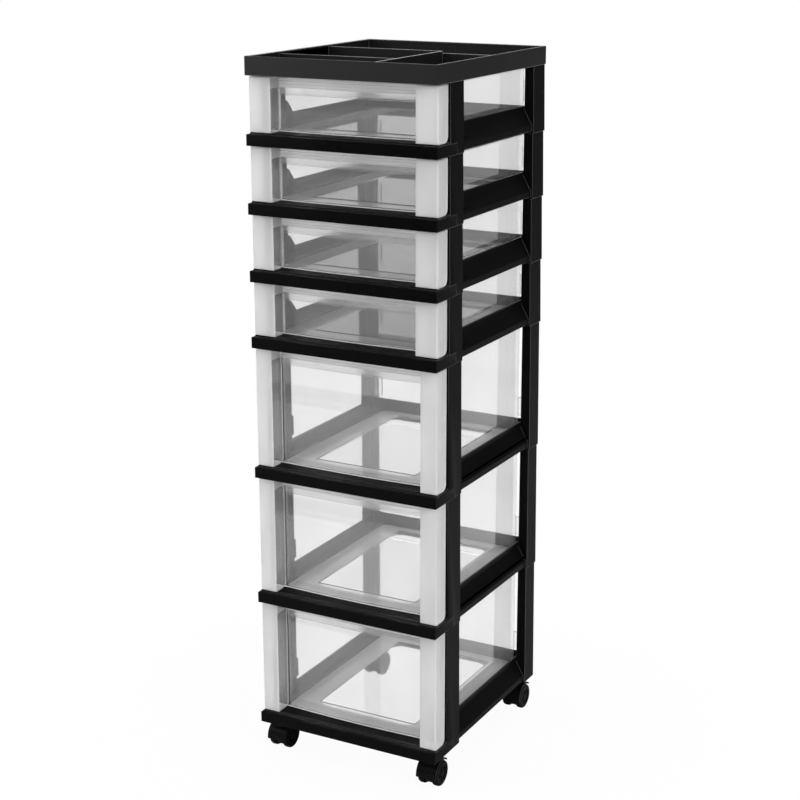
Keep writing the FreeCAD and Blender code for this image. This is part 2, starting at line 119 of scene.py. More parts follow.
# shared surface effects
def mouldGrainGroup():
    # fine spark-eroded grain of a moulded surface, with a slower swell under it
    tree, given, made = newGroup(
        "mouldGrain",
        [("Grain Size", "Float", 1800.0), ("Swell Size", "Float", 25.0),
         ("Swell Share", "Float", 0.3), ("Base Roughness", "Float", 0.4),
         ("Roughness Spread", "Float", 0.1)],
        [("Height", "Float"), ("Roughness", "Float")])
    place = addNode(tree, "ShaderNodeTexCoord").outputs["Object"]
    grain = addNode(tree, "ShaderNodeTexNoise")
    grain.inputs["Detail"].default_value = 2.0
    swell = addNode(tree, "ShaderNodeTexNoise")
    swell.inputs["Detail"].default_value = 3.0
    for node, size in ((grain, "Grain Size"), (swell, "Swell Size")):
        wire(tree, place, node.inputs["Vector"])
        wire(tree, given[size], node.inputs["Scale"])
    swelling = mathNode(tree, "MULTIPLY", swell.outputs[0], given["Swell Share"])
    wire(tree, mathNode(tree, "ADD", grain.outputs[0], swelling), made["Height"])
    centred = mathNode(tree, "SUBTRACT", swell.outputs[0], 0.5)
    spread = mathNode(tree, "MULTIPLY_ADD", centred, given["Roughness Spread"],
                      given["Base Roughness"])
    wire(tree, spread, made["Roughness"])
    return tree


def flowCloudsGroup():
    # soft clouds that melt flow leaves in clear and milky plastic
    tree, given, made = newGroup(
        "flowClouds",
        [("Thin Colour", "Color", grey(0.95)), ("Thick Colour", "Color", grey(0.85)),
         ("Cloud Size", "Float", 18.0), ("Stretch", "Float", 0.35)],
        [("Colour", "Color")])
    place = addNode(tree, "ShaderNodeTexCoord").outputs["Object"]
    scaled = addNode(tree, "ShaderNodeCombineXYZ")
    scaled.inputs["X"].default_value = 1.0
    scaled.inputs["Y"].default_value = 1.0
    wire(tree, given["Stretch"], scaled.inputs["Z"])
    squeezed = addNode(tree, "ShaderNodeVectorMath", operation="MULTIPLY")
    wire(tree, place, squeezed.inputs[0])
    wire(tree, scaled.outputs[0], squeezed.inputs[1])
    clouds = addNode(tree, "ShaderNodeTexNoise")
    clouds.inputs["Detail"].default_value = 3.0
    clouds.inputs["Roughness"].default_value = 0.45
    wire(tree, squeezed.outputs[0], clouds.inputs["Vector"])
    wire(tree, given["Cloud Size"], clouds.inputs["Scale"])
    mask = ranged(tree, clouds.outputs[0], 0.3, 0.7)
    wire(tree, mixColour(tree, mask, given["Thin Colour"], given["Thick Colour"]), made["Colour"])
    return tree


def settledDustGroup():
    # thin dust on faces that look up; feeds colour and roughness
    tree, given, made = newGroup(
        "settledDust",
        [("Clean Colour", "Color", grey(0.02)), ("Dust Colour", "Color", grey(0.1)),
         ("Clean Roughness", "Float", 0.4), ("Amount", "Float", 0.2)],
        [("Colour", "Color"), ("Roughness", "Float")])
    facing = addNode(tree, "ShaderNodeSeparateXYZ")
    wire(tree, addNode(tree, "ShaderNodeTexCoord").outputs["Normal"], facing.inputs[0])
    upward = ranged(tree, facing.outputs["Z"], 0.6, 1.0)
    specks = addNode(tree, "ShaderNodeTexNoise")
    specks.inputs["Scale"].default_value = 220.0
    specks.inputs["Detail"].default_value = 4.0
    wire(tree, addNode(tree, "ShaderNodeTexCoord").outputs["Object"], specks.inputs["Vector"])
    share = mathNode(tree, "MULTIPLY", upward, specks.outputs[0])
    share = mathNode(tree, "MULTIPLY", share, given["Amount"], clamp=True)
    wire(tree, mixColour(tree, share, given["Clean Colour"], given["Dust Colour"]),
         made["Colour"])
    wire(tree, mathNode(tree, "MULTIPLY_ADD", share, 0.4, given["Clean Roughness"], clamp=True),
         made["Roughness"])
    return tree


mouldGrain = mouldGrainGroup()
flowClouds = flowCloudsGroup()
settledDust = settledDustGroup()


def useGroup(tree, group, values):
    node = addNode(tree, "ShaderNodeGroup", node_tree=group)
    for name, value in values.items():
        node.inputs[name].default_value = value
    return node


def mixSurfaces(tree, share, first, second, output):
    mix = addNode(tree, "ShaderNodeMixShader")
    for index, source in enumerate((share, first, second)):
        wire(tree, source, mix.inputs[index])
    wire(tree, mix.outputs[0], output.inputs["Surface"])


def newMaterial(name):
    material = bpy.data.materials.new(name)
    material.use_nodes = True
    tree = material.node_tree
    tree.nodes.clear()
    surface = addNode(tree, "ShaderNodeBsdfPrincipled")
    output = addNode(tree, "ShaderNodeOutputMaterial")
    wire(tree, surface.outputs[0], output.inputs["Surface"])
    return material, tree, surface, output


def addGrain(tree, surface, look):
    # bumps of the surface; hands on the roughness that goes with them
    grain = useGroup(tree, mouldGrain, {
        "Grain Size": look["grainSize"], "Swell Size": look["swellSize"], "Swell Share": look["swellShare"],
        "Base Roughness": look["roughness"], "Roughness Spread": look["roughnessSpread"]})
    bump = addNode(tree, "ShaderNodeBump")
    bump.inputs["Strength"].default_value = look["bump"]
    bump.inputs["Distance"].default_value = look["bumpDepth"] * mm
    wire(tree, grain.outputs["Height"], bump.inputs["Height"])
    wire(tree, bump.outputs[0], surface.inputs["Normal"])
    return grain.outputs["Roughness"]


def addClouds(tree, thin, thick, look):
    clouds = useGroup(tree, flowClouds, {
        "Thin Colour": grey(thin), "Thick Colour": grey(thick), "Cloud Size": look["cloudSize"],
        "Stretch": look["stretch"]})
    return clouds.outputs["Colour"]


def opaquePlastic(name, look):
    material, tree, surface = newMaterial(name)[:3]
    dust = useGroup(tree, settledDust, {
        "Dust Colour": grey(look["dustColour"]), "Amount": look["dust"]})
    wire(tree, addClouds(tree, look["colour"], look["colour"] * look["cloudShare"], look),
         dust.inputs["Clean Colour"])
    wire(tree, addGrain(tree, surface, look), dust.inputs["Clean Roughness"])
    wire(tree, dust.outputs["Colour"], surface.inputs["Base Color"])
    wire(tree, dust.outputs["Roughness"], surface.inputs["Roughness"])
    surface.inputs["IOR"].default_value = look["ior"]
    surface.inputs["Specular IOR Level"].default_value = look["gloss"]
    return material


def clearPlastic(name, look):
    # clear moulding: lets the lamps through, so that what lies inside isn't in false shadow
    material, tree, surface, output = newMaterial(name)
    wire(tree, addClouds(tree, look["thin"], look["thick"], look), surface.inputs["Base Color"])
    wire(tree, addGrain(tree, surface, look), surface.inputs["Roughness"])
    surface.inputs["IOR"].default_value = look["ior"]
    surface.inputs["Transmission Weight"].default_value = look["transmission"]
    shadow = addNode(tree, "ShaderNodeLightPath")
    passing = addNode(tree, "ShaderNodeBsdfTransparent")
    passing.inputs["Color"].default_value = grey(look["shadowColour"])
    mixSurfaces(tree, shadow.outputs["Is Shadow Ray"], surface.outputs[0], passing.outputs[0], output)
    return material


def brushedSteel(name, look):
    material, tree, surface = newMaterial(name)[:3]
    wire(tree, addClouds(tree, look["bright"], look["dull"], look), surface.inputs["Base Color"])
    wire(tree, addGrain(tree, surface, look), surface.inputs["Roughness"])
    surface.inputs["Metallic"].default_value = 1.0
    return material


frameLook = {"colour": 0.005, "cloudShare": 0.8, "roughness": 0.4, "roughnessSpread": 0.16, "gloss": 0.03,
             "grainSize": 2200.0, "swellSize": 14.0, "swellShare": 0.5, "bump": 0.2, "bumpDepth": 0.06,
             "dust": 0.05, "dustColour": 0.05, "cloudSize": 9.0, "stretch": 0.6, "ior": 1.5}
# bevel faces of the frame: glossier, and lighter in colour as a painted highlight along the edges
edgeHighlightLook = dict(frameLook, colour=0.03, roughness=0.22, gloss=1.0, dust=0.0, bump=0.05)
# forward faces of the lips: a little glossier, and darker in colour as painted shade
lipShadeLook = dict(frameLook, colour=0.0015, roughness=0.3, gloss=0.06, dust=0.0)
trayLook = dict(frameLook, colour=0.012, roughness=0.5, gloss=0.24, dust=0.12)
# tray bevel faces: glossier, and much lighter in colour as a painted highlight along the rim and dividers
trayEdgeHighlightLook = dict(edgeHighlightLook, colour=0.09)
casterLook = dict(frameLook, colour=0.004, roughness=0.36, gloss=0.08, dust=0.04)
wheelLook = dict(frameLook, colour=0.004, roughness=0.5, gloss=0.06, dust=0.04)
ringLook = dict(frameLook, colour=0.35, roughness=0.45, gloss=0.5, dust=0.0)
tubLook = {"thin": 0.97, "thick": 0.93, "cloudSize": 14.0, "stretch": 0.5, "grainSize": 900.0,
           "swellSize": 9.0, "swellShare": 1.0, "roughness": 0.02, "roughnessSpread": 0.015, "bump": 0.02,
           "bumpDepth": 0.3, "ior": 1.45, "transmission": 0.95, "shadowColour": 0.9}
frostLook = {"thin": 0.95, "thick": 0.88, "cloudSize": 26.0, "stretch": 0.6, "grainSize": 1500.0,
             "swellSize": 40.0, "swellShare": 0.6, "roughness": 0.3, "roughnessSpread": 0.1, "bump": 0.15,
             "bumpDepth": 0.1, "ior": 1.45, "transmission": 0.6, "shadowColour": 0.8}
satinLook = dict(frostLook, roughness=0.16, transmission=0.86)
hazyLook = dict(tubLook, roughness=0.04, transmission=0.84)
floorLook = dict(frostLook, roughness=0.05, roughnessSpread=0.02, transmission=0.5)
# whiter, less clear frost: painted highlight on the column edges, the crests of the band's lines and the
# panel's foot
highlightFrostLook = dict(frostLook, thin=0.98, thick=0.95, roughness=0.25, transmission=0.15)
steelLook = {"bright": 0.62, "dull": 0.45, "cloudSize": 120.0, "stretch": 1.0, "grainSize": 2500.0,
             "swellSize": 300.0, "swellShare": 0.4, "roughness": 0.34, "roughnessSpread": 0.2, "bump": 0.15,
             "bumpDepth": 0.05}

framePlastic = opaquePlastic("black_frame_plastic", frameLook)
edgeHighlightPlastic = opaquePlastic("frame_edge_gloss_and_painted_highlight", edgeHighlightLook)
lipShadePlastic = opaquePlastic("lip_front_gloss_and_painted_shade", lipShadeLook)
trayPlastic = opaquePlastic("matt_tray_plastic", trayLook)
trayEdgeHighlightPlastic = opaquePlastic("tray_edge_gloss_and_painted_highlight", trayEdgeHighlightLook)
casterPlastic = opaquePlastic("caster_hood_plastic", casterLook)
wheelPlastic = opaquePlastic("hard_wheel_plastic", wheelLook)
ringPlastic = opaquePlastic("grip_ring_finish", ringLook)
tubPlastic = clearPlastic("clear_tub_plastic", tubLook)
frostPlastic = clearPlastic("frosted_front_plastic", frostLook)
satinPlastic = clearPlastic("satin_band_plastic", satinLook)
hazyPlastic = clearPlastic("hazy_wall_plastic", hazyLook)
floorPlastic = clearPlastic("satin_floor_plastic", floorLook)
highlightFrostPlastic = clearPlastic("frost_painted_highlight", highlightFrostLook)
zincSteel = brushedSteel("zinc_plated_steel", steelLook)
print("stage: materials made")


# helpers for pieces; angles in degrees
meshSizes = {"mergeWithin": 0.002, "flatWithin": 0.5, "smoothBelow": 35.0, "nodeSmoothBelow": 30.0,
             "weldWithin": 0.02}


def link(piece):
    bpy.context.scene.collection.objects.link(piece)
    return piece


def shaded(mesh, materials, smoothBelow):
    for material in materials:
        mesh.materials.append(material)
    mesh.shade_smooth()
    mesh.set_sharp_from_angle(angle=math.radians(smoothBelow))


def meshPiece(name, bm, materials, outward=True):
    # outward turns the faces outwards; a piece joined from finished ones keeps theirs
    mesh = bpy.data.meshes.new(name)
    if outward:
        bmesh.ops.recalc_face_normals(bm, faces=bm.faces)
    bm.to_mesh(mesh)
    bm.free()
    shaded(mesh, materials, meshSizes["smoothBelow"])
    return link(bpy.data.objects.new(name, mesh))


def settled(piece):
    # turns a piece with modifiers into a plain mesh
    shape = bpy.context.evaluated_depsgraph_get()
    done = bpy.data.meshes.new_from_object(piece.evaluated_get(shape))
    piece.modifiers.clear()
    old = piece.data
    piece.data = done
    bpy.data.meshes.remove(old)
    return piece


def bevelled(piece, width, angle=30.0, clamp=False, edgeSlot=-1):
    # softened edges; edgeSlot is the material slot of the new faces, -1 keeps their neighbours' material
    bevel = piece.modifiers.new("softEdges", "BEVEL")
    bevel.width = width * mm
    bevel.segments = 2
    bevel.limit_method = "ANGLE"
    bevel.angle_limit = math.radians(angle)
    bevel.use_clamp_overlap = clamp
    bevel.harden_normals = True
    bevel.material = edgeSlot
    return settled(piece)


def evenNormals(piece):
    # shading that follows the large faces, so that a flat clear wall doesn't bend what lies behind it
    even = piece.modifiers.new("evenNormals", "WEIGHTED_NORMAL")
    even.mode = "FACE_AREA"
    even.weight = 100
    even.keep_sharp = True
    return settled(piece)


def copiedNode(node, name, materials, width, clamp=False, edgeSlot=-1):
    # merged copy of a CAD node with softened edges
    # known fault: with shallow_frame_1 the bevel leaves a face across the opening of the deck
    bm = bmesh.new()
    bm.from_mesh(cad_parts[node].data)
    bmesh.ops.remove_doubles(bm, verts=bm.verts, dist=meshSizes["mergeWithin"] * mm)
    flat = math.radians(meshSizes["flatWithin"])
    bmesh.ops.dissolve_limit(bm, angle_limit=flat, verts=bm.verts, edges=bm.edges)
    mesh = bpy.data.meshes.new(name)
    bm.to_mesh(mesh)
    bm.free()
    shaded(mesh, materials, meshSizes["nodeSmoothBelow"])
    for face in mesh.polygons:
        face.material_index = 0
    piece = bevelled(link(bpy.data.objects.new(name, mesh)), width, clamp=clamp, edgeSlot=edgeSlot)
    low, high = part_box(node)
    for vert in piece.data.vertices:
        vert.co = [min(max(value, a), b) for value, a, b in zip(vert.co, low, high)]
    return piece


def movedCopy(piece, name, shift):
    mesh = piece.data.copy()
    mesh.name = name
    mesh.transform(Matrix.Translation(shift))
    return link(bpy.data.objects.new(name, mesh))


def paint(piece, index, test):
    # gives faces that pass a test another of the piece's materials
    for face in piece.data.polygons:
        if test(face.center, face.normal):
            face.material_index = index


# frame modules and tray
frameSizes = {"edgeRound": 0.5, "lipTall": 16.5, "lipDeep": 0.9}
traySizes = {"edgeRound": 0.7}


def dressFrame(node, piece):
    base = nodeBase(node)
    top = base + frameSizes["lipTall"] * mm
    face = towerFront + frameSizes["lipDeep"] * mm
    # the lips' forward faces take the darker lip material: painted shade
    paint(piece, 2, lambda centre, normal: centre.y < face and centre.z < top and normal.y < -0.9)
    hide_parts(node)
    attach(piece, "root")


def buildFrames():
    made = {}
    # deep_frame_3 stands on the casters and isn't a copy of the other two
    for names in (shallowNames, deepNames[:2], deepNames[2:]):
        # edgeSlot 1 gives the bevel faces the lighter edge material, a painted highlight
        first = copiedNode(names[0], names[0] + "_moulding", [framePlastic, edgeHighlightPlastic, lipShadePlastic],
                           frameSizes["edgeRound"], edgeSlot=1)
        made[names[0]] = first
        for node in names[1:]:
            shift = Vector((0, 0, nodeBase(node) - nodeBase(names[0])))
            made[node] = movedCopy(first, node + "_moulding", shift)
    for node, piece in made.items():
        dressFrame(node, piece)


buildFrames()
# edgeSlot 1 gives the tray's bevel faces the lighter edge material, a painted highlight
trayPiece = copiedNode("organizer_tray", "organizer_tray_moulding", [trayPlastic, trayEdgeHighlightPlastic],
                       traySizes["edgeRound"], edgeSlot=1)
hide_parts("organizer_tray")
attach(trayPiece, "root")
print("stage: frames and tray made")


# drawers
tubSizes = {"halfWide": 124.5, "front": -144.5, "rear": 169.0, "cornerRound": 8.0, "wall": 2.0, "bow": 3.5,
            "bowSteps": 11, "bowReach": 116.5, "bowDeep": 8.5, "rimOut": 3.5, "rimThick": 2.0,
            "floorInset": 6.0, "edgeRound": 0.6, "foot": 19.0, "rimBelowTop": 3.0, "panelHalfWide": 85.5,
            "panelFront": -112.0, "panelRear": 150.0, "panelRound": 5.0, "panelHigh": 1.0, "panelLap": 1.0,
            "panelSlope": 1.0, "panelBorder": 2.5, "earReach": 135.5, "earBack": 166.0, "earThick": 3.0,
            "earLow": 4.0, "earTall": 30.0, "earRoot": 1.0, "earRound": 0.6}
drawerSizes = {"topGap": 1.5, "columnInset": 2.0, "columnSetback": 7.5, "columnDeep": 28.5,
               "columnRound": 2.0, "columnFootRound": 9.0, "columnWall": 2.0, "edgeRound": 0.6,
               "bandTall": 16.0, "bandProud": 1.2, "bandLines": (15.0, 11.0, 6.5, 3.0), "lineProud": 0.5,
               "satinTall": 24.0, "satinProud": 0.6, "lineFoot": 0.5, "lineCrest": 0.2, "highlightCrestShare": 0.4,
               "satinBevel": 0.3, "sunk": 0.05, "beadThick": 1.0, "beadInset": 1.5, "beadRound": 2.0,
               "beadMargin": 1.5, "beadSunk": 0.4, "beadEdge": 0.3, "footStrip": 1.6, "footLift": 0.1,
               "footProud": 0.9, "footBevel": 0.4, "roomRound": 0.8, "endLap": 0.5}
drawerKinds = {"shallow": {"pitch": 99.0, "crest": 40.0, "columnWide": 35.0},
               "deep": {"pitch": 201.0, "crest": 43.0, "columnWide": 27.0}}
frontMaterials = [frostPlastic, highlightFrostPlastic, satinPlastic, hazyPlastic]


def newShapeTree(name, inputs):
    tree = bpy.data.node_groups.new(name, "GeometryNodeTree")
    tree.interface.new_socket("Section", in_out="INPUT", socket_type="NodeSocketGeometry")
    for label, kind in inputs:
        tree.interface.new_socket(label, in_out="INPUT", socket_type="NodeSocket" + kind)
    tree.interface.new_socket("Geometry", in_out="OUTPUT", socket_type="NodeSocketGeometry")
    return tree, addNode(tree, "NodeGroupInput").outputs, addNode(tree, "NodeGroupOutput").inputs


def pointPlace(tree):
    # X, Y and Z of each point
    place = addNode(tree, "ShaderNodeSeparateXYZ")
    wire(tree, addNode(tree, "GeometryNodeInputPosition").outputs[0], place.inputs[0])
    return place.outputs


def steady(tree, value):
    node = addNode(tree, "ShaderNodeValue")
    node.outputs[0].default_value = value
    return node.outputs[0]


def lifted(tree, geometry, height):
    lift = addNode(tree, "ShaderNodeCombineXYZ")
    wire(tree, height, lift.inputs["Z"])
    raised = addNode(tree, "GeometryNodeTransform")
    wire(tree, geometry, raised.inputs["Geometry"])
    wire(tree, lift.outputs[0], raised.inputs["Translation"])
    return raised.outputs[0]


def welded(tree, geometry):
    weld = addNode(tree, "GeometryNodeMergeByDistance")
    weld.inputs["Distance"].default_value = meshSizes["weldWithin"] * mm
    wire(tree, geometry, weld.inputs["Geometry"])
    return weld.outputs[0]


def finishShape(tree, geometry, given, made):
    # plain mesh with its material, at the end of a shape tree
    solid = addNode(tree, "GeometryNodeRealizeInstances")
    wire(tree, geometry, solid.inputs["Geometry"])
    coloured = addNode(tree, "GeometryNodeSetMaterial")
    wire(tree, solid.outputs[0], coloured.inputs["Geometry"])
    wire(tree, given["Material"], coloured.inputs["Material"])
    wire(tree, coloured.outputs[0], made["Geometry"])
    return tree


def cutsAcross(tree, length, steps):
    # number of cuts for each stretch of a path: only those that start on its front or rear side get any
    place = pointPlace(tree)
    inside = mathNode(tree, "SUBTRACT", mathNode(tree, "MULTIPLY", length, 0.5),
                      mathNode(tree, "ABSOLUTE", place["Y"]))
    onSide = mathNode(tree, "LESS_THAN", inside, 0.1 * mm)
    product = mathNode(tree, "MULTIPLY", place["X"], place["Y"])
    startsSide = mathNode(tree, "GREATER_THAN", product, 0.0)
    return mathNode(tree, "MULTIPLY", mathNode(tree, "MULTIPLY", onSide, startsSide), steps)


def bowForward(tree, geometry, front, bow, reach, deep):
    # moves what lies near the front forward along an arc
    place = pointPlace(tree)
    side = mathNode(tree, "DIVIDE", place["X"], reach)
    bulge = mathNode(tree, "SUBTRACT", 1.0, mathNode(tree, "MULTIPLY", side, side), clamp=True)
    close = mathNode(tree, "LESS_THAN", place["Y"], mathNode(tree, "ADD", front, deep))
    shift = mathNode(tree, "MULTIPLY", mathNode(tree, "MULTIPLY", bulge, close), bow)
    offset = addNode(tree, "ShaderNodeCombineXYZ")
    wire(tree, mathNode(tree, "MULTIPLY", shift, -1.0), offset.inputs["Y"])
    moved = addNode(tree, "GeometryNodeSetPosition")
    wire(tree, geometry, moved.inputs["Geometry"])
    wire(tree, offset.outputs[0], moved.inputs["Offset"])
    return moved.outputs[0]


def roundedPath(tree, width, length, radius, count, centre, cuts):
    # level rounded rectangle that starts a sweep; the sockets give its sizes
    outline = addNode(tree, "GeometryNodeCurvePrimitiveQuadrilateral")
    wire(tree, width, outline.inputs["Width"])
    wire(tree, length, outline.inputs["Height"])
    corners = addNode(tree, "GeometryNodeFilletCurve", mode="POLY")
    corners.inputs["Count"].default_value = count
    wire(tree, outline.outputs[0], corners.inputs["Curve"])
    wire(tree, radius, corners.inputs["Radius"])
    split = addNode(tree, "GeometryNodeSubdivideCurve")
    wire(tree, corners.outputs[0], split.inputs["Curve"])
    wire(tree, cuts, split.inputs["Cuts"])
    placed = addNode(tree, "GeometryNodeTransform")
    wire(tree, split.outputs[0], placed.inputs["Geometry"])
    wire(tree, centre, placed.inputs["Translation"])
    level = addNode(tree, "GeometryNodeSetCurveNormal", mode="Z_UP")
    wire(tree, placed.outputs[0], level.inputs["Curve"])
    return level.outputs[0]


def sweep(tree, path, section, radius):
    # section lines are drawn with x outwards from the path and y downwards
    line = addNode(tree, "GeometryNodeMeshToCurve")
    wire(tree, section, line.inputs["Mesh"])
    softened = addNode(tree, "GeometryNodeFilletCurve", mode="POLY")
    softened.inputs["Count"].default_value = 3
    softened.inputs["Limit Radius"].default_value = True
    wire(tree, line.outputs[0], softened.inputs["Curve"])
    wire(tree, radius, softened.inputs["Radius"])
    skin = addNode(tree, "GeometryNodeCurveToMesh")
    wire(tree, path, skin.inputs["Curve"])
    wire(tree, softened.outputs[0], skin.inputs["Profile Curve"])
    return skin.outputs[0]


def openEdgesAt(tree, skin, level):
    # curves along the open edges of a swept skin that lie at one height
    neighbours = addNode(tree, "GeometryNodeInputMeshEdgeNeighbors")
    lonely = mathNode(tree, "COMPARE", neighbours.outputs[0], 1.0, 0.1)
    near = mathNode(tree, "COMPARE", pointPlace(tree)["Z"], level, meshSizes["weldWithin"] * mm)
    both = mathNode(tree, "MULTIPLY", lonely, near)
    edges = addNode(tree, "GeometryNodeMeshToCurve")
    wire(tree, skin, edges.inputs["Mesh"])
    wire(tree, both, edges.inputs["Selection"])
    return edges.outputs[0]


def filledAt(tree, curves, level):
    filled = addNode(tree, "GeometryNodeFillCurve", mode="TRIANGLES")
    wire(tree, curves, filled.inputs["Curve"])
    return lifted(tree, filled.outputs[0], level)


def joined(tree, parts):
    join = addNode(tree, "GeometryNodeJoinGeometry")
    for part in parts:
        wire(tree, part, join.inputs[0])
    return join.outputs[0]


def tubTree():
    # wall and rim swept along the tub's outline, the raised panel along its own, then three floors filled in
    tree, given, made = newShapeTree("sweptTub", [
        ("Panel Section", "Object"), ("Width", "Float"), ("Length", "Float"),
        ("Corner Round", "Float"), ("Centre", "Vector"), ("Edge Round", "Float"),
        ("Panel Width", "Float"), ("Panel Length", "Float"),
        ("Panel Round", "Float"), ("Panel Centre", "Vector"),
        ("Floor Thick", "Float"), ("Panel High", "Float"), ("Front", "Float"),
        ("Bow", "Float"), ("Bow Reach", "Float"), ("Bow Deep", "Float"),
        ("Bow Steps", "Int"), ("Material", "Material")])
    cuts = cutsAcross(tree, given["Length"], given["Bow Steps"])
    path = roundedPath(tree, given["Width"], given["Length"], given["Corner Round"], 6,
                       given["Centre"], cuts)
    wall = sweep(tree, path, given["Section"], given["Edge Round"])
    panelLine = addNode(tree, "GeometryNodeObjectInfo")
    wire(tree, given["Panel Section"], panelLine.inputs["Object"])
    zero = steady(tree, 0.0)
    panelPath = roundedPath(tree, given["Panel Width"], given["Panel Length"],
                            given["Panel Round"], 8, given["Panel Centre"], zero)
    panel = sweep(tree, panelPath, panelLine.outputs["Geometry"], given["Edge Round"])
    skins = joined(tree, [wall, panel])
    floorTop = given["Floor Thick"]
    panelTop = mathNode(tree, "ADD", floorTop, given["Panel High"])
    fills = []
    for level in (zero, floorTop, panelTop):
        fills.append(filledAt(tree, openEdgesAt(tree, skins, level), level))
    whole = joined(tree, [skins] + fills)
    place = pointPlace(tree)
    held = addNode(tree, "ShaderNodeCombineXYZ")
    wire(tree, place["X"], held.inputs["X"])
    wire(tree, mathNode(tree, "MAXIMUM", place["Y"], given["Front"]), held.inputs["Y"])
    wire(tree, place["Z"], held.inputs["Z"])
    flush = addNode(tree, "GeometryNodeSetPosition")
    wire(tree, whole, flush.inputs["Geometry"])
    wire(tree, held.outputs[0], flush.inputs["Position"])
    bowed = bowForward(tree, flush.outputs[0], given["Front"], given["Bow"],
                       given["Bow Reach"], given["Bow Deep"])
    return finishShape(tree, welded(tree, bowed), given, made)


def lineObject(name, points, closed=False):
    # section line of a sweep; z is stored downwards, as the sweep expects
    mesh = bpy.data.meshes.new(name)
    edges = [(index, index + 1) for index in range(len(points) - 1)]
    if closed:
        edges.append((len(points) - 1, 0))
    mesh.from_pydata([(x * mm, -z * mm, 0.0) for x, z in points], edges, [])
    return link(bpy.data.objects.new(name, mesh))


def grown(piece, tree, values):
    # runs a shape tree on a section line and leaves the plain mesh
    modifier = piece.modifiers.new("shape", "NODES")
    modifier.node_group = tree
    sockets = {s.name: s.identifier for s in tree.interface.items_tree if s.in_out == "INPUT"}
    for name, value in values.items():
        modifier[sockets[name]] = value
    return settled(piece)


def sweptTub(kind, tree):
    sizes = tubSizes
    high = drawerKinds[kind]["pitch"] - drawerSizes["topGap"] - sizes["rimBelowTop"] - sizes["foot"]
    wall = sizes["wall"]
    inset = sizes["floorInset"]
    lip = high - sizes["rimThick"]
    section = [(-inset, 0.0), (0.0, 0.0), (0.0, lip), (sizes["rimOut"], lip), (sizes["rimOut"], high),
               (-wall, high), (-wall, wall), (-inset, wall)]
    piece = lineObject(kind + "_tub_pattern", section)
    raised = wall + sizes["panelHigh"]
    slope = [(sizes["panelLap"], wall), (0.0, wall), (-sizes["panelSlope"], raised),
             (-sizes["panelBorder"], raised)]
    panelSection = lineObject(kind + "_panel_line", slope)
    grown(piece, tree, {
        "Panel Section": panelSection, "Width": 2 * sizes["halfWide"] * mm,
        "Length": (sizes["rear"] - sizes["front"]) * mm, "Corner Round": sizes["cornerRound"] * mm,
        "Centre": (0.0, (sizes["rear"] + sizes["front"]) / 2 * mm, 0.0),
        "Edge Round": sizes["edgeRound"] * mm,
        "Panel Width": 2 * sizes["panelHalfWide"] * mm,
        "Panel Length": (sizes["panelRear"] - sizes["panelFront"]) * mm,
        "Panel Round": sizes["panelRound"] * mm,
        "Panel Centre": (0.0, (sizes["panelRear"] + sizes["panelFront"]) / 2 * mm, 0.0),
        "Floor Thick": wall * mm, "Panel High": sizes["panelHigh"] * mm, "Front": sizes["front"] * mm,
        "Bow": sizes["bow"] * mm, "Bow Reach": sizes["bowReach"] * mm, "Bow Deep": sizes["bowDeep"] * mm,
        "Bow Steps": sizes["bowSteps"], "Material": tubPlastic})
    bpy.data.objects.remove(panelSection)
    return piece


def roundedBlock(bm, low, high, width):
    # box between two corners in millimetres with softened edges
    centre = [(a + b) / 2 * mm for a, b in zip(low, high)]
    size = [(b - a) * mm for a, b in zip(low, high)]
    place = Matrix.Translation(centre) @ Matrix.Diagonal((*size, 1.0))
    made = bmesh.ops.create_cube(bm, size=1.0, matrix=place)
    edges = list({e for v in made["verts"] for e in v.link_edges})
    bmesh.ops.bevel(bm, geom=edges, offset=width * mm, segments=2, profile=0.5, affect="EDGES")


def addTubEars(piece, kind):
    bm = bmesh.new()
    bm.from_mesh(piece.data)
    crest = drawerKinds[kind]["crest"] - tubSizes["foot"]
    low = crest + tubSizes["earLow"]
    for side in (-1, 1):
        ends = sorted((side * (tubSizes["halfWide"] - tubSizes["earRoot"]), side * tubSizes["earReach"]))
        roundedBlock(bm, (ends[0], tubSizes["earBack"] - tubSizes["earThick"], low),
                     (ends[1], tubSizes["earBack"], low + tubSizes["earTall"]), tubSizes["earRound"])
    bmesh.ops.recalc_face_normals(bm, faces=bm.faces)
    bm.to_mesh(piece.data)
    bm.free()
    piece.data.shade_smooth()
    piece.data.set_sharp_from_angle(angle=math.radians(meshSizes["smoothBelow"]))
    evenNormals(piece)
    floor = tubSizes["wall"] * mm
    piece.data.materials.clear()
    for material in (tubPlastic, floorPlastic):
        piece.data.materials.append(material)
    for face in piece.data.polygons:
        onBorder = face.normal.z > 0.9 and abs(face.center.z - floor) < 0.3 * mm
        face.material_index = 1 if onBorder else 0


def bowAt(x):
    # how far the front panel bulges forward at x
    share = min(1.0, abs(x) / tubSizes["bowReach"])
    return tubSizes["bow"] * (1.0 - share * share)


def prism(outline, stations, bowed=False):
    # closed block with an outline in the side view, through stations along X, bent along the panel if bowed
    bm = bmesh.new()
    rings = []
    for x in stations:
        forward = bowAt(x) if bowed else 0.0
        rings.append([bm.verts.new((x * mm, (y - forward) * mm, z * mm)) for y, z in outline])
    bm.faces.new(rings[0])
    bm.faces.new(rings[-1])
    for ring, after in zip(rings, rings[1:]):
        for index in range(len(outline)):
            beyond = (index + 1) % len(outline)
            bm.faces.new((ring[index], ring[beyond], after[beyond], after[index]))
    return bm


def acrossPanel(inner):
    # stations of a bowed prism between the columns
    count = tubSizes["bowSteps"] + 1
    reach = tubSizes["bowReach"]
    inside = [-reach + 2 * reach * step / count for step in range(count + 1)]
    end = inner + drawerSizes["endLap"]
    return [-end] + [x for x in inside if abs(x) < inner] + [end]


def columnOutline(high, heel, y0, y1):
    # side view of a handle column, with the rounded heel at its back
    points = [(y1, high), (y0, high), (y0, 0.0)]
    for step in range(9):
        turn = math.pi / 2 * step / 8
        points.append((y1 - heel + heel * math.sin(turn), heel - heel * math.cos(turn)))
    return points


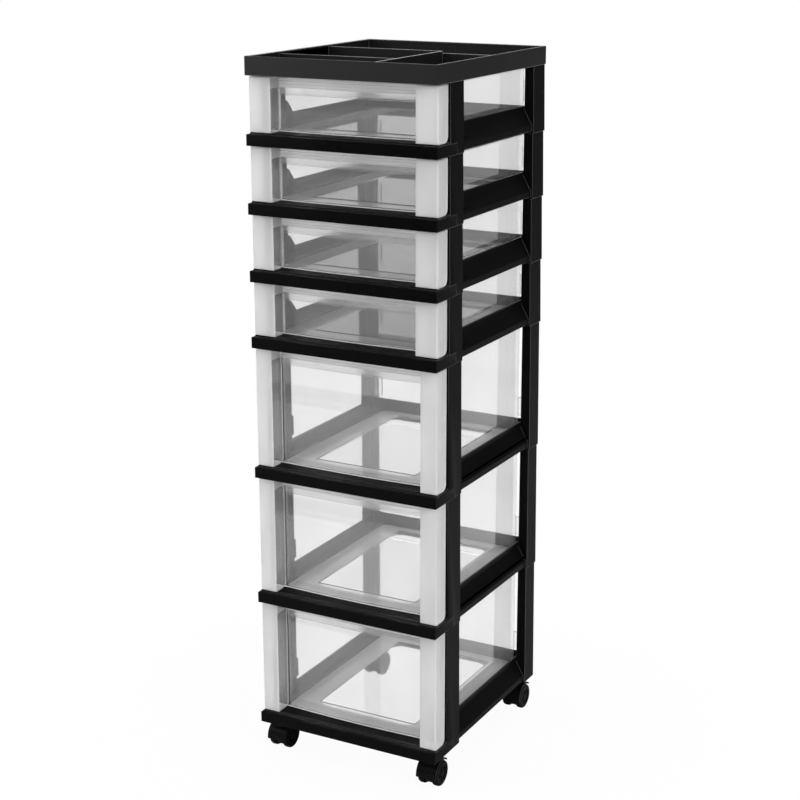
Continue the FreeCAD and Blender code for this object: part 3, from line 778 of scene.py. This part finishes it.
def handleColumn(kind):
    # right-hand column, hollow and open to the back, standing on z = 0
    sizes = drawerSizes
    high, inner = frontSizes(kind)
    outer = towerSide / mm - sizes["columnInset"]
    y0 = towerFront / mm + sizes["columnSetback"]
    y1 = y0 + sizes["columnDeep"]
    wall = sizes["columnWall"]
    bm = prism(columnOutline(high, sizes["columnFootRound"], y0, y1), (inner, outer))
    near, far = (y0 + 0.1) * mm, (outer - 0.1) * mm
    corner = [e for e in bm.edges if all(v.co.y < near and v.co.x > far for v in e.verts)]
    bmesh.ops.bevel(bm, geom=corner, offset=sizes["columnRound"] * mm, segments=5, profile=0.5,
                    affect="EDGES")
    piece = meshPiece(kind + "_column_pattern", bm, frontMaterials)
    room = bmesh.new()
    low = (inner + wall, y0 + wall, wall)
    top = (outer - wall, y1 + wall, high - wall)
    roundedBlock(room, low, top, sizes["roomRound"])
    hollow = meshPiece(kind + "_column_room", room, [frostPlastic])
    cut = piece.modifiers.new("hollow", "BOOLEAN")
    cut.operation = "DIFFERENCE"
    cut.solver = "EXACT"
    cut.object = hollow
    settled(piece)
    bpy.data.objects.remove(hollow)
    # the column's bevel faces take the whiter frost, a painted highlight along its edges
    bevelled(piece, sizes["edgeRound"], 40.0, edgeSlot=1)
    bm = bmesh.new()
    bm.from_mesh(piece.data)
    heights = [(high - sizes["bandTall"]) * mm, (high - sizes["satinTall"]) * mm]
    for height in heights:
        bmesh.ops.bisect_plane(bm, geom=bm.verts[:] + bm.edges[:] + bm.faces[:], plane_co=(0.0, 0.0, height),
                               plane_no=(0.0, 0.0, 1.0))
    bm.to_mesh(piece.data)
    bm.free()
    innerWall = (inner + wall + 0.1) * mm
    for slot, low, top in ((2, heights[1], heights[0]), (3, -1.0, heights[1])):
        paint(piece, slot, lambda centre, normal: abs(normal.x) > 0.95 and centre.x < innerWall
              and low < centre.z < top)
    return piece


def frontSizes(kind):
    # height of a drawer above its foot and half the width between its columns
    high = drawerKinds[kind]["pitch"] - drawerSizes["topGap"] - tubSizes["foot"]
    return high, towerSide / mm - drawerSizes["columnInset"] - drawerKinds[kind]["columnWide"]


def topBand(kind):
    # frosted band across the top of the front panel, with moulded lines on its face
    sizes = drawerSizes
    top, inner = frontSizes(kind)
    front = tubSizes["front"]
    face = front - sizes["bandProud"]
    back = front - sizes["sunk"]
    inside = front + tubSizes["wall"]
    low = top - tubSizes["rimBelowTop"] + sizes["sunk"]
    foot, crest = sizes["lineFoot"], sizes["lineCrest"]
    outline = [(back, top - sizes["bandTall"]), (face, top - sizes["bandTall"])]
    for below in sizes["bandLines"]:
        for step, proud in ((-foot, 0.0), (-crest, 1.0), (crest, 1.0), (foot, 0.0)):
            outline.append((face - proud * sizes["lineProud"], top - below + step))
    outline += [(face, top), (inside, top), (inside, low), (back, low)]
    piece = meshPiece(kind + "_band_pattern", prism(outline, acrossPanel(inner), True),
                      [frostPlastic, highlightFrostPlastic])
    # the crests of the moulded lines take the whiter frost, a painted highlight
    proud = face - sizes["lineProud"] * sizes["highlightCrestShare"]
    paint(piece, 1, lambda centre, normal: centre.y / mm < proud - bowAt(centre.x / mm))
    return piece


def satinStrip(kind):
    # thinner frosting under the band
    top, inner = frontSizes(kind)
    front = tubSizes["front"]
    back = front - drawerSizes["sunk"]
    face = front - drawerSizes["satinProud"]
    low = top - drawerSizes["satinTall"]
    high = top - drawerSizes["bandTall"] - drawerSizes["sunk"]
    bevel = drawerSizes["satinBevel"]
    outline = [(back, low), (face + bevel, low), (face, low + bevel), (face, high), (back, high)]
    return meshPiece(kind + "_satin_pattern", prism(outline, acrossPanel(inner), True), [satinPlastic])


def beadTree():
    # closed bead swept along an upright rounded rectangle
    tree, given, made = newShapeTree("sweptBead", [
        ("Width", "Float"), ("Height", "Float"), ("Corner Round", "Float"),
        ("Centre", "Vector"), ("Place", "Vector"), ("Edge Round", "Float"),
        ("Bow", "Float"), ("Bow Reach", "Float"), ("Bow Steps", "Int"),
        ("Material", "Material")])
    cuts = cutsAcross(tree, given["Height"], given["Bow Steps"])
    path = roundedPath(tree, given["Width"], given["Height"], given["Corner Round"], 4,
                       given["Centre"], cuts)
    skin = sweep(tree, path, given["Section"], given["Edge Round"])
    upright = addNode(tree, "GeometryNodeTransform")
    upright.inputs["Rotation"].default_value = (math.pi / 2, 0.0, 0.0)
    wire(tree, skin, upright.inputs["Geometry"])
    wire(tree, given["Place"], upright.inputs["Translation"])
    metre = steady(tree, 1.0)  # so far that the whole bead lies near the front
    bowed = bowForward(tree, upright.outputs[0], metre, given["Bow"], given["Bow Reach"], metre)
    return finishShape(tree, bowed, given, made)


def panelBead(kind, tree):
    # border bead round the clear part of the front panel
    top, inner = frontSizes(kind)
    sizes = drawerSizes
    half = sizes["beadThick"] / 2
    high = top - sizes["satinTall"] - sizes["footStrip"] - 2 * sizes["beadMargin"]
    middle = sizes["footStrip"] + sizes["beadMargin"] + high / 2
    square = [(-half, -half), (half, -half), (half, half), (-half, half)]
    piece = lineObject(kind + "_bead_pattern", square, True)
    grown(piece, tree, {
        "Width": 2 * (inner - sizes["beadInset"]) * mm, "Height": high * mm,
        "Corner Round": sizes["beadRound"] * mm, "Centre": (0.0, 0.0, 0.0),
        "Place": (0.0, (tubSizes["front"] - half * sizes["beadSunk"]) * mm, middle * mm),
        "Edge Round": sizes["beadEdge"] * mm, "Bow": tubSizes["bow"] * mm,
        "Bow Reach": tubSizes["bowReach"] * mm,
        "Bow Steps": tubSizes["bowSteps"], "Material": satinPlastic})
    bm = bmesh.new()
    bm.from_mesh(piece.data)
    bmesh.ops.recalc_face_normals(bm, faces=bm.faces)
    bm.to_mesh(piece.data)
    bm.free()
    return piece


def footStrip(kind):
    # thick foot of the front panel, in whiter frost as a painted highlight
    sizes = drawerSizes
    back = tubSizes["front"] - sizes["sunk"]
    low, high = sizes["footLift"], sizes["footStrip"]
    face, bevel = back - sizes["footProud"], sizes["footBevel"]
    outline = [(back, low), (face + bevel, low), (face, low + bevel), (face, high - bevel),
               (face + bevel, high), (back, high)]
    across = acrossPanel(frontSizes(kind)[1])
    return meshPiece(kind + "_foot_pattern", prism(outline, across, True), [highlightFrostPlastic])


def mirroredInto(bm, mesh, shift, side, slots):
    # adds a moved copy of a mesh, mirrored if side is -1, with its materials moved to other slots
    firstVert = len(bm.verts)
    firstFace = len(bm.faces)
    bm.from_mesh(mesh)
    bm.verts.ensure_lookup_table()
    bm.faces.ensure_lookup_table()
    for vert in bm.verts[firstVert:]:
        vert.co.x *= side
        vert.co += shift
    added = bm.faces[firstFace:]
    if side < 0:
        bmesh.ops.reverse_faces(bm, faces=added)
    for face in added:
        face.material_index = slots[face.material_index]


def buildDrawers():
    tree = tubTree()
    beads = beadTree()
    for kind in ("shallow", "deep"):
        tub = sweptTub(kind, tree)
        addTubEars(tub, kind)
        column = handleColumn(kind)
        details = [(topBand(kind), (0, 1)), (satinStrip(kind), (2,)), (panelBead(kind, beads), (2,)),
                   (footStrip(kind), (1,))]
        count = 4 if kind == "shallow" else 3
        for index in range(1, count + 1):
            drawer = f"{kind}_drawer_{index}"
            shift = Vector((0, 0, nodeBase(f"{kind}_frame_{index}") + tubSizes["foot"] * mm))
            body = movedCopy(tub, drawer + "_tub", shift)
            bm = bmesh.new()
            for side in (-1, 1):
                mirroredInto(bm, column.data, shift, side, (0, 1, 2, 3))
            for detail, slots in details:
                mirroredInto(bm, detail.data, shift, 1, slots)
            front = meshPiece(drawer + "_front", bm, frontMaterials, outward=False)
            evenNormals(front)
            for piece in (body, front):
                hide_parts(drawer)
                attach(piece, drawer)
        for pattern in [tub, column] + [detail for detail, slots in details]:
            bpy.data.objects.remove(pattern)


buildDrawers()
print("stage: drawers made")


# casters
wheelSizes = {"radius": 20.0, "wide": 10.0, "tyreRound": 2.6, "dishRadius": 13.0, "dishDeep": 1.5,
              "capRadius": 4.5, "tyreShare": 0.3, "dishSlope": 0.8, "capSlope": 0.6, "capLow": 0.4,
              "hubLow": 0.2, "boreRadius": 3.05, "boreDeep": 7.0, "pathRadius": 10.0, "steps": 64,
              "ribCount": 6, "ribInner": 5.2, "ribOuter": 12.2, "ribWide": 1.4, "ribTall": 1.6,
              "ribLift": 0.1, "edgeRound": 0.4}
hoodSizes = {"edgeRound": 0.4}


def wheelTree():
    # wheel section swept round a ring, with ribs standing in its dish
    tree, given, made = newShapeTree("spunWheel", [
        ("Path Radius", "Float"), ("Edge Round", "Float"), ("Rib Count", "Int"),
        ("Rib Size", "Vector"), ("Rib Radius", "Float"), ("Rib Height", "Float"),
        ("Steps", "Int"), ("Material", "Material")])
    ring = addNode(tree, "GeometryNodeCurvePrimitiveCircle", mode="RADIUS")
    wire(tree, given["Steps"], ring.inputs["Resolution"])
    wire(tree, given["Path Radius"], ring.inputs["Radius"])
    level = addNode(tree, "GeometryNodeSetCurveNormal", mode="Z_UP")
    wire(tree, ring.outputs[0], level.inputs["Curve"])
    skin = sweep(tree, level.outputs[0], given["Section"], given["Edge Round"])
    places = addNode(tree, "GeometryNodeCurvePrimitiveCircle", mode="RADIUS")
    wire(tree, given["Rib Count"], places.inputs["Resolution"])
    wire(tree, given["Rib Radius"], places.inputs["Radius"])
    rib = addNode(tree, "GeometryNodeMeshCube")
    wire(tree, given["Rib Size"], rib.inputs["Size"])
    turn = addNode(tree, "FunctionNodeAlignRotationToVector", axis="X")
    wire(tree, addNode(tree, "GeometryNodeInputPosition").outputs[0], turn.inputs["Vector"])
    ribs = addNode(tree, "GeometryNodeInstanceOnPoints")
    wire(tree, places.outputs[0], ribs.inputs["Points"])
    wire(tree, rib.outputs[0], ribs.inputs["Instance"])
    wire(tree, turn.outputs[0], ribs.inputs["Rotation"])
    raised = lifted(tree, ribs.outputs[0], given["Rib Height"])
    return finishShape(tree, joined(tree, [welded(tree, skin), raised]), given, made)


def wheelPattern():
    # one wheel standing on its inner face, its axis up
    sizes = wheelSizes
    path = sizes["pathRadius"]
    wide = sizes["wide"]
    edge = sizes["tyreRound"]
    dish = wide - sizes["dishDeep"]
    radius, bore, cap = sizes["radius"], sizes["boreRadius"], sizes["capRadius"]
    cut = edge * sizes["tyreShare"]
    outline = [(0.0, sizes["boreDeep"]), (bore, sizes["boreDeep"]), (bore, 0.0),
               (radius - edge, 0.0), (radius - cut, cut), (radius, edge),
               (radius, wide - edge), (radius - cut, wide - cut), (radius - edge, wide),
               (sizes["dishRadius"], wide), (sizes["dishRadius"] - sizes["dishSlope"], dish),
               (cap + sizes["capSlope"], dish), (cap, wide - sizes["capLow"]), (0.0, wide - sizes["hubLow"])]
    piece = lineObject("wheel_pattern", [(away - path, height) for away, height in outline])
    length = sizes["ribOuter"] - sizes["ribInner"]
    return grown(piece, wheelTree(), {
        "Path Radius": path * mm, "Edge Round": sizes["edgeRound"] * mm, "Rib Count": sizes["ribCount"],
        "Rib Size": (length * mm, sizes["ribWide"] * mm, sizes["ribTall"] * mm),
        "Rib Radius": (sizes["ribInner"] + length / 2) * mm, "Rib Height": (dish + sizes["ribLift"]) * mm,
        "Steps": sizes["steps"], "Material": wheelPlastic})


def buildCasters():
    pattern = wheelPattern()
    for place in casterPlaces:
        hood = copiedNode(place + "_caster_hood", place + "_hood_moulding", [casterPlastic],
                          hoodSizes["edgeRound"], clamp=True)
        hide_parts(place + "_caster_hood")
        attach(hood, place + "_caster")
        for label, side in (("left", -1), ("right", 1)):
            node = f"{place}_wheel_{label}"
            low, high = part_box(node)
            centre = Vector([(a + b) / 2 for a, b in zip(low, high)])
            turn = Matrix.Rotation(side * math.pi / 2, 4, "Y")
            inner = Vector((low[0] if side > 0 else high[0], centre.y, centre.z))
            mesh = pattern.data.copy()
            mesh.transform(Matrix.Translation(inner) @ turn)
            bm = bmesh.new()
            bm.from_mesh(mesh)
            wheel = meshPiece(node + "_tread", bm, [wheelPlastic])
            bpy.data.meshes.remove(mesh)
            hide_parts(node)
            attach(wheel, node)
        for suffix, material in (("_axle", zincSteel), ("_caster_stem", zincSteel),
                                 ("_grip_ring", ringPlastic)):
            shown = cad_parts[place + suffix]
            shown.data.materials.clear()
            shown.data.materials.append(material)
    bpy.data.objects.remove(pattern)


buildCasters()
print("stage: casters made")


# studio
studio = {"floorSize": 60.0, "floorColour": 0.85, "glowNear": 0.96, "glowFar": 1.0, "nearRadius": 0.25,
          "farRadius": 0.8, "floorRoughness": 0.9, "floorGloss": 0.1, "domeLight": 0.42, "glossLow": 0.08,
          "glossHigh": 0.5, "riseLow": 0.1, "riseHigh": 0.8}
lamps = [  # each aims at the tower's middle axis, aimHigh above the floor; metres
    {"name": "top_softbox", "place": (0.3, -0.6, 3.4), "aimHigh": 0.5, "size": (2.6, 2.6), "watts": 55.0},
    {"name": "left_softbox", "place": (-2.6, -2.2, 1.7), "aimHigh": 0.6, "size": (1.6, 2.4), "watts": 42.0},
    {"name": "right_softbox", "place": (2.9, -0.9, 1.6), "aimHigh": 0.6, "size": (1.4, 2.4), "watts": 22.0},
    {"name": "back_softbox", "place": (-0.6, 2.6, 2.6), "aimHigh": 0.7, "size": (2.4, 1.4), "watts": 35.0}]
cameraView = {"place": (1.21625, -2.24664, 1.28520), "turn": 0.4965, "tip": 0.2802, "roll": -0.0018,
              "lens": 77.99, "sensor": 36.0}


def buildFloor():
    bm = bmesh.new()
    bmesh.ops.create_grid(bm, x_segments=2, y_segments=2, size=studio["floorSize"] / 2)
    mesh = bpy.data.meshes.new("studio_floor")
    bm.to_mesh(mesh)
    bm.free()
    floor = link(bpy.data.objects.new("studio_floor", mesh))
    material, tree, surface, output = newMaterial("studio_floor_white")
    surface.inputs["Base Color"].default_value = grey(studio["floorColour"])
    surface.inputs["Roughness"].default_value = studio["floorRoughness"]
    surface.inputs["Specular IOR Level"].default_value = studio["floorGloss"]
    path = addNode(tree, "ShaderNodeLightPath")
    seen = mathNode(tree, "MAXIMUM", path.outputs["Is Camera Ray"], path.outputs["Is Transmission Ray"])
    away = addNode(tree, "ShaderNodeVectorMath", operation="LENGTH")
    wire(tree, addNode(tree, "ShaderNodeTexCoord").outputs["Object"], away.inputs[0])
    whiter = ranged(tree, away.outputs["Value"], studio["nearRadius"], studio["farRadius"],
                    studio["glowNear"], studio["glowFar"], "SMOOTHSTEP")
    share = mathNode(tree, "MULTIPLY", seen, whiter)
    glow = addNode(tree, "ShaderNodeEmission")
    mixSurfaces(tree, share, surface.outputs[0], glow.outputs[0], output)
    mesh.materials.append(material)


def buildWorld():
    world = bpy.data.worlds.new("white_studio")
    bpy.context.scene.world = world
    world.use_nodes = True
    tree = world.node_tree
    tree.nodes.clear()
    path = addNode(tree, "ShaderNodeLightPath")
    height = addNode(tree, "ShaderNodeSeparateXYZ")
    wire(tree, addNode(tree, "ShaderNodeTexCoord").outputs["Generated"], height.inputs[0])
    rise = ranged(tree, height.outputs["Z"], studio["riseLow"], studio["riseHigh"], studio["glossLow"],
                  studio["glossHigh"])
    seen = mathNode(tree, "MAXIMUM", path.outputs["Is Camera Ray"], path.outputs["Is Transmission Ray"])
    light = addNode(tree, "ShaderNodeMix", data_type="FLOAT")
    wire(tree, path.outputs["Is Glossy Ray"], light.inputs[0])
    light.inputs[2].default_value = studio["domeLight"]
    wire(tree, rise, light.inputs[3])
    shown = addNode(tree, "ShaderNodeMix", data_type="FLOAT")
    wire(tree, seen, shown.inputs[0])
    wire(tree, light.outputs[0], shown.inputs[2])
    shown.inputs[3].default_value = 1.0
    back = addNode(tree, "ShaderNodeBackground")
    wire(tree, shown.outputs[0], back.inputs["Strength"])
    output = addNode(tree, "ShaderNodeOutputWorld")
    wire(tree, back.outputs[0], output.inputs["Surface"])


def buildLamps():
    for lamp in lamps:
        light = bpy.data.lights.new(lamp["name"], "AREA")
        light.shape = "RECTANGLE"
        light.size, light.size_y = lamp["size"]
        light.energy = lamp["watts"]
        holder = link(bpy.data.objects.new(lamp["name"], light))
        holder.location = lamp["place"]
        aim = Vector((0.0, 0.0, lamp["aimHigh"])) - Vector(lamp["place"])
        holder.rotation_euler = aim.to_track_quat("-Z", "Y").to_euler()


def buildCamera():
    lens = bpy.data.cameras.new("studio_camera")
    lens.lens = cameraView["lens"]
    lens.sensor_width = cameraView["sensor"]
    lens.clip_start = 0.05
    lens.clip_end = 200.0
    camera = link(bpy.data.objects.new("studio_camera", lens))
    camera.matrix_world = (Matrix.Translation(cameraView["place"])
                           @ Matrix.Rotation(cameraView["turn"], 4, "Z")
                           @ Matrix.Rotation(math.pi / 2 - cameraView["tip"], 4, "X")
                           @ Matrix.Rotation(cameraView["roll"], 4, "Z"))
    bpy.context.scene.camera = camera


buildFloor()
buildWorld()
buildLamps()
buildCamera()
scene = bpy.context.scene
scene.view_settings.view_transform = "Standard"
scene.cycles.max_bounces = 24
scene.cycles.transmission_bounces = 24
scene.cycles.transparent_max_bounces = 32
print("stage: studio made")
